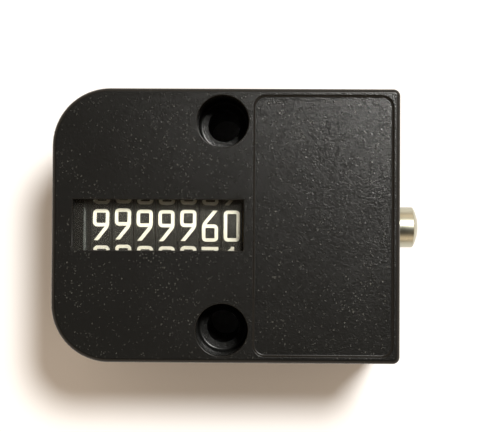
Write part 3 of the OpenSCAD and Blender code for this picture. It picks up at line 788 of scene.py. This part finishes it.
def buildBush():
    low, high = nodeBox("plunger_bush")
    edge = bushSpec["edge"]
    inner = plungerSpec["r"] + bushSpec["slide"]
    outer = housingSpec["boreR"] - bushSpec["press"]
    flange = (high.z - low.z) / 2
    flangeEnd = innerRight - low.x
    length = high.x - low.x
    ring = lathe([
        (edge, inner), (0, inner + edge), (0, flange - edge), (edge, flange), (flangeEnd, flange),
        (flangeEnd, outer), (length - edge, outer), (length, outer - edge),
        (length, inner + edge), (length - edge, inner), (edge, inner),
    ], "X", (low.x, 0, plungerZ), steps=64)
    addPiece("bush_brass", ring, turnedBrass, "case", ["plunger_bush"])


def buildSpring():
    s = springSpec
    low, high = nodeBox("plunger_spring")
    wire = s["wireR"]
    bm = bmesh.new()
    bmesh.ops.create_circle(bm, segments=10, radius=wire)
    # two of the circle's corners lie along X, so that the end turns reach their full length
    bmesh.ops.rotate(bm, verts=bm.verts, matrix=Matrix.Rotation(-math.pi / 2, 3, "Z"))
    bmesh.ops.translate(bm, vec=(low.x + wire, s["coilR"], plungerZ), verts=bm.verts)
    bmesh.ops.contextual_create(bm, geom=bm.edges[:])
    ring = bm.faces[:] + bm.edges[:] + bm.verts[:]
    dead = (s["deadTurns"], s["deadPitch"] * wire)
    liveLength = high.x - low.x - 2 * wire - 2 * s["deadTurns"] * dead[1]
    live = (s["liveTurns"], liveLength / s["liveTurns"])
    for turns, pitch in (dead, live, dead):
        steps = round(turns * s["steps"])
        made = bmesh.ops.spin(
            bm, geom=ring, cent=(0, 0, plungerZ), axis=(1, 0, 0), angle=math.tau * turns,
            dvec=(pitch * turns / steps, 0, 0), steps=steps, use_merge=False, use_duplicate=False,
        )
        ring = made["geom_last"]
    bmesh.ops.recalc_face_normals(bm, faces=bm.faces)
    piece = addPiece("return_spring", bm, springSteel, "case", ["plunger_spring"])
    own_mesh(piece)


buildPlunger()
buildBush()
buildSpring()
print("plunger group built")


coverSpec = {
    "corner": 7.65, "rightCorner": 0.5, "edge": 0.06, "bossR": 5.95,
    "sinkR": 2.15, "sinkDepth": 1.1, "screwHoleR": 1.25,
    "headRoom": 0.4, "headFloor": 0.9,  # pockets that clear the frame screws' heads
    "ejectorR": 1.6, "ejectorDepth": 0.08,
    "ejectors": [(-14, 0), (12, 10), (12, -10), (24, 0)],
    "gateR": 0.9, "gateDepth": 0.3,
}
screwSpec = {
    "edge": 0.12, "headDepth": 1, "shankR": 1.1, "length": 7,
    "threadFrom": 1.6, "threadTo": 6.2, "pitch": 0.8, "threadDepth": 0.25,
    "crest": (0.35, 0.45),  # where each thread's flat top starts and ends
    "pointFrom": 6.5, "pointDrop": 0.3, "pointR": 0.25,
    "slot": (0.26, 1.05), "slotDepth": 0.75,  # half width and half length
}


def buildCover():
    c = coverSpec
    through = coverHigh.z + past
    cover = slab(
        coverLow.x, coverHigh.x, coverLow.y, coverHigh.y, 0, coverHigh.z,
        c["corner"], c["rightCorner"], steps=14,
    )
    tools = [post((0, side * housingSpec["holeY"]), c["bossR"], -past, through) for side in (-1, 1)]
    sink = [
        (-past / 2, 0), (-past / 2, c["sinkR"]), (0, c["sinkR"]),
        (c["sinkDepth"], c["screwHoleR"]), (through, c["screwHoleR"]), (through, 0),
    ]
    for x, y in coverScrews:
        tools.append(shifted(lathe(sink, "Z", (0, 0, 0), steps=40), x, y))
    for centre in frameScrews:
        tools.append(post(centre, frameHeadR + c["headRoom"], c["headFloor"], through))
    for centre in c["ejectors"]:
        tools.append(post(centre, c["ejectorR"], -past, c["ejectorDepth"]))
    tools.append(post((0, 0), c["gateR"], -past, c["gateDepth"]))
    cover = cut(cover, [("DIFFERENCE", merged(tools))])
    bevelEdges(cover, edgesAt(cover, 0, sharperThan=60), c["edge"], steps=2)
    addPiece("cover_plate", cover, coverNylon, "case", ["rear_cover"])


def screwProfile():
    s = screwSpec
    root = s["shankR"] - s["threadDepth"]
    profile = [
        (0, 0), (0, coverHeadR - s["edge"]), (s["edge"], coverHeadR), (s["headDepth"], s["shankR"]),
    ]
    at = s["threadFrom"]
    while at < s["threadTo"]:
        profile += [(at, root)] + [(at + step, s["shankR"]) for step in s["crest"]]
        at += s["pitch"]
    profile += [
        (s["pointFrom"], s["shankR"] - s["pointDrop"]),
        (s["length"], s["pointR"]), (s["length"], 0),
    ]
    return profile


def buildCoverScrews():
    profile = screwProfile()
    slot = screwSpec["slot"]
    screws = []
    for x, y in coverScrews:
        screw = lathe(profile, "Z", (0, 0, 0), steps=32)
        cross = [
            slab(-halfX, halfX, -halfY, halfY, -past, screwSpec["slotDepth"])
            for halfX, halfY in (slot, slot[::-1])
        ]
        screw = cut(screw, [("DIFFERENCE", part) for part in cross])
        screws.append(shifted(screw, x, y))
    addPiece("cover_screw_set", merged(screws), zincScrew, "case", ["cover_screws"])


buildCover()
buildCoverScrews()
print("cover built")


# the other CAD nodes keep their shape and take a finish
nodeMaterials = {
    "counter_frame": zincSheet, "frame_screws": zincScrew, "wheel_axle": groundSteel,
    "axle_clips": springSteel, "end_spacer": whiteAcetal, "unit_bush": whiteAcetal,
    "ratchet_wheel": turnedBrass, "holding_spring": springSteel, "holding_rivet": rivetSteel,
    "rocker": sinteredSteel, "rocker_pin": groundSteel, "rocker_clip": springSteel,
    "drive_pawl": springSteel, "pawl_rivet": rivetSteel, "plunger_guide": whiteAcetal,
}
for k in range(1, 8):
    nodeMaterials[f"number_wheel_{k}"] = wheelAcetal
for k in range(1, 7):
    nodeMaterials[f"carrier_{k}"] = whiteAcetal
    nodeMaterials[f"pinion_{k}"] = ivoryAcetal
for name, material in nodeMaterials.items():
    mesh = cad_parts[name].data
    mesh.materials.clear()
    mesh.materials.append(material)
print("CAD nodes finished")


tableSpec = {"size": 1200, "drop": 0.02}  # the drop keeps it off the back face
lightSpec = {
    "keyFrom": (0.33, 0.42, 1.0), "keyDistance": 900, "keySize": 230, "keyPower": 9.0,
    "keyColour": "#fffdf8", "skyColour": "#ffe6ca",
    "skyStrength": 1.5, "skyDim": 0.012,
    "skyFloor": 0.25, "skyTop": (0.4, 0.82),  # heights from 0, the horizon, to 1, overhead
}
cameraSpec = {
    "place": (6.3, -2.35, 223.7),  # mm, almost straight above the front face
    "turn": (1.17, 0.74, 0.33),  # degrees about X, Y and Z
    "lens": 83.9, "near": 10,
}


def buildStage():
    bm = bmesh.new()
    bmesh.ops.create_grid(bm, x_segments=2, y_segments=2, size=tableSpec["size"] / 2 * mm)
    mesh = bpy.data.meshes.new("table")
    bm.to_mesh(mesh)
    bm.free()
    mesh.materials.append(tableTop)
    table = bpy.data.objects.new("table", mesh)
    table.location.z = -tableSpec["drop"] * mm
    scene.collection.objects.link(table)

    light = lightSpec
    lamp = bpy.data.lights.new("key", "AREA")
    lamp.shape = "DISK"
    lamp.size = light["keySize"] * mm
    lamp.energy = light["keyPower"]
    lamp.color = linearColour(light["keyColour"])[:3]
    key = bpy.data.objects.new("key", lamp)
    key.location = Vector(light["keyFrom"]).normalized() * light["keyDistance"] * mm
    key.rotation_euler = key.location.to_track_quat("Z", "Y").to_euler()
    scene.collection.objects.link(key)

    world = bpy.data.worlds.new("soft room")
    world.use_nodes = True
    sky = world.node_tree.nodes["Background"]
    sky.inputs["Color"].default_value = linearColour(light["skyColour"])
    # a ring of soft light: dim at the horizon, and dim overhead, where the lamp does the work
    way = addNode(world, "ShaderNodeTexCoord").outputs["Generated"]
    height = addNode(world, "ShaderNodeSeparateXYZ", None, {0: way}).outputs["Z"]
    low = addNode(world, "ShaderNodeMapRange", {
        "interpolation_type": "SMOOTHSTEP", "From Min": 0.0, "From Max": light["skyFloor"],
        "To Min": light["skyDim"],
    }, {"Value": height}).outputs[0]
    ring = addNode(world, "ShaderNodeMapRange", {
        "interpolation_type": "SMOOTHSTEP",
        "From Min": light["skyTop"][0], "From Max": light["skyTop"][1],
        "To Min": light["skyStrength"], "To Max": light["skyDim"],
    }, {"Value": height}).outputs[0]
    strength = addNode(world, "ShaderNodeMath", {
        "operation": "MULTIPLY",
    }, {0: low, 1: ring}).outputs[0]
    connect(world, strength, sky, "Strength")
    scene.world = world

    lens = bpy.data.cameras.new("camera")
    lens.lens = cameraSpec["lens"]
    lens.clip_start = cameraSpec["near"] * mm
    camera = bpy.data.objects.new("camera", lens)
    camera.location = Vector(cameraSpec["place"]) * mm
    camera.rotation_euler = [math.radians(a) for a in cameraSpec["turn"]]
    scene.collection.objects.link(camera)
    scene.camera = camera
    scene.view_settings.view_transform = "Standard"


buildStage()
print("stage ready")
